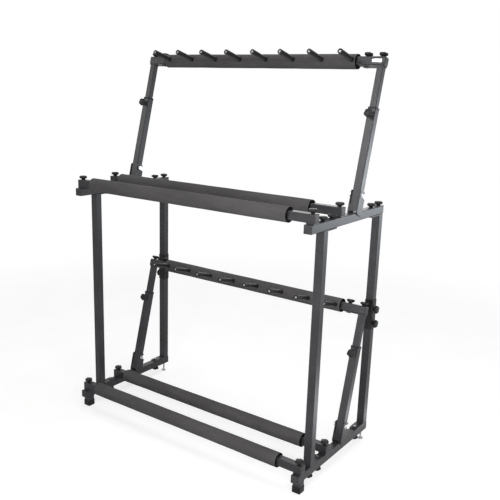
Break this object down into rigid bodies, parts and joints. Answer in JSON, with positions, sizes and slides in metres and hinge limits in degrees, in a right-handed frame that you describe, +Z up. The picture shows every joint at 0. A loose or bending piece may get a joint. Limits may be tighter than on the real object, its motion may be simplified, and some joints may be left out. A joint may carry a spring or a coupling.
{
  "type": "racket display stand",
  "caption": "Free-standing two-tier rack of square steel tube with foam-sleeved rests and folding, height-adjustable peg bars that hold rackets upright.",
  "frame": {"origin": "on the floor, under the middle of the stand's outline", "axes": "+X to the right seen from the front, +Y to the back, +Z up"},
  "size_m": [0.9386, 0.4396, 1.25],
  "materials": {
    "powder_coat": "satin charcoal powder coat",
    "black_plastic": "moulded black plastic",
    "foam": "closed-cell foam, matt",
    "zinc": "bright zinc plating"
  },
  "bodies": {
    "frame": {"lower_rail_left": "powder_coat", "lower_rail_right": "powder_coat", "lower_front_crossbar": "powder_coat", "lower_front_foam": "foam", "lower_front_knob_left": "black_plastic", "lower_front_knob_right": "black_plastic", "lower_middle_crossbar": "powder_coat", "lower_middle_foam": "foam", "lower_middle_knob_left": "black_plastic", "lower_middle_knob_right": "black_plastic", "lower_pivot_bolt_left": "zinc", "lower_pivot_bolt_right": "zinc", "upper_rail_left": "powder_coat", "upper_rail_right": "powder_coat", "upper_front_crossbar": "powder_coat", "upper_front_foam": "foam", "upper_front_knob_left": "black_plastic", "upper_front_knob_right": "black_plastic", "upper_middle_crossbar": "powder_coat", "upper_middle_foam": "foam", "upper_middle_knob_left": "black_plastic", "upper_middle_knob_right": "black_plastic", "upper_pivot_bolt_left": "zinc", "upper_pivot_bolt_right": "zinc", "front_post_left": "powder_coat", "rear_post_lower_left": "powder_coat", "rear_post_upper_left": "powder_coat", "rear_post_joiner_left": "black_plastic", "front_foot_left": "black_plastic", "front_post_right": "powder_coat", "rear_post_lower_right": "powder_coat", "rear_post_upper_right": "powder_coat", "rear_post_joiner_right": "black_plastic", "front_foot_right": "black_plastic"},
    "lower_uprights": {"lower_outer_upright_left": "powder_coat", "lower_outer_upright_right": "powder_coat"},
    "lower_neck": {"lower_inner_upright_left": "powder_coat", "lower_inner_upright_right": "powder_coat", "lower_neck_bar": "powder_coat", "lower_neck_foam": "foam", "lower_neck_knob_left_outer": "black_plastic", "lower_neck_knob_left_inner": "black_plastic", "lower_neck_knob_right_outer": "black_plastic", "lower_neck_knob_right_inner": "black_plastic"},
    "lower_lock_knob_left_body": {"lower_lock_knob_left": "black_plastic"},
    "lower_lock_knob_right_body": {"lower_lock_knob_right": "black_plastic"},
    "upper_uprights": {"upper_outer_upright_left": "powder_coat", "upper_outer_upright_right": "powder_coat"},
    "upper_neck": {"upper_inner_upright_left": "powder_coat", "upper_inner_upright_right": "powder_coat", "upper_neck_bar": "powder_coat", "upper_neck_foam": "foam", "upper_neck_knob_left_outer": "black_plastic", "upper_neck_knob_left_inner": "black_plastic", "upper_neck_knob_right_outer": "black_plastic", "upper_neck_knob_right_inner": "black_plastic"},
    "upper_lock_knob_left_body": {"upper_lock_knob_left": "black_plastic"},
    "upper_lock_knob_right_body": {"upper_lock_knob_right": "black_plastic"},
    "rear_foot_left_body": {"rear_foot_left": "zinc"},
    "rear_foot_right_body": {"rear_foot_right": "zinc"}
  },
  "joints": [
    {"name": "lower_fold", "type": "hinge", "parent": "frame", "child": "lower_uprights", "pos_m": [0, 0.05445, 0.10898], "axis": [1, 0, 0], "range_deg": [0, 33]},
    {"name": "lower_height", "type": "slide", "parent": "lower_uprights", "child": "lower_neck", "axis": [0, 0.2554, 0.9668], "range_m": [-0.08, 0.07]},
    {"name": "lower_lock_knob_left_turn", "type": "hinge", "parent": "lower_uprights", "child": "lower_lock_knob_left_body", "pos_m": [-0.443, 0.09364, 0.33951], "axis": [0, -0.9668, 0.2554], "range_deg": [0, 450]},
    {"name": "lower_lock_knob_right_turn", "type": "hinge", "parent": "lower_uprights", "child": "lower_lock_knob_right_body", "pos_m": [0.443, 0.09364, 0.33951], "axis": [0, -0.9668, 0.2554], "range_deg": [0, 450]},
    {"name": "upper_fold", "type": "hinge", "parent": "frame", "child": "upper_uprights", "pos_m": [0, 0.05445, 0.84148], "axis": [1, 0, 0], "range_deg": [0, 90]},
    {"name": "upper_height", "type": "slide", "parent": "upper_uprights", "child": "upper_neck", "axis": [0, 0.2554, 0.9668], "range_m": [-0.1, 0.09]},
    {"name": "upper_lock_knob_left_turn", "type": "hinge", "parent": "upper_uprights", "child": "upper_lock_knob_left_body", "pos_m": [-0.443, 0.09364, 1.07201], "axis": [0, -0.9668, 0.2554], "range_deg": [0, 450]},
    {"name": "upper_lock_knob_right_turn", "type": "hinge", "parent": "upper_uprights", "child": "upper_lock_knob_right_body", "pos_m": [0.443, 0.09364, 1.07201], "axis": [0, -0.9668, 0.2554], "range_deg": [0, 450]},
    {"name": "rear_foot_left_turn", "type": "hinge", "parent": "frame", "child": "rear_foot_left_body", "pos_m": [-0.443, 0.20525, 0.003], "axis": [0, 0, 1], "range_deg": [-360, 360]},
    {"name": "rear_foot_right_turn", "type": "hinge", "parent": "frame", "child": "rear_foot_right_body", "pos_m": [0.443, 0.20525, 0.003], "axis": [0, 0, 1], "range_deg": [-360, 360]}
  ]
}
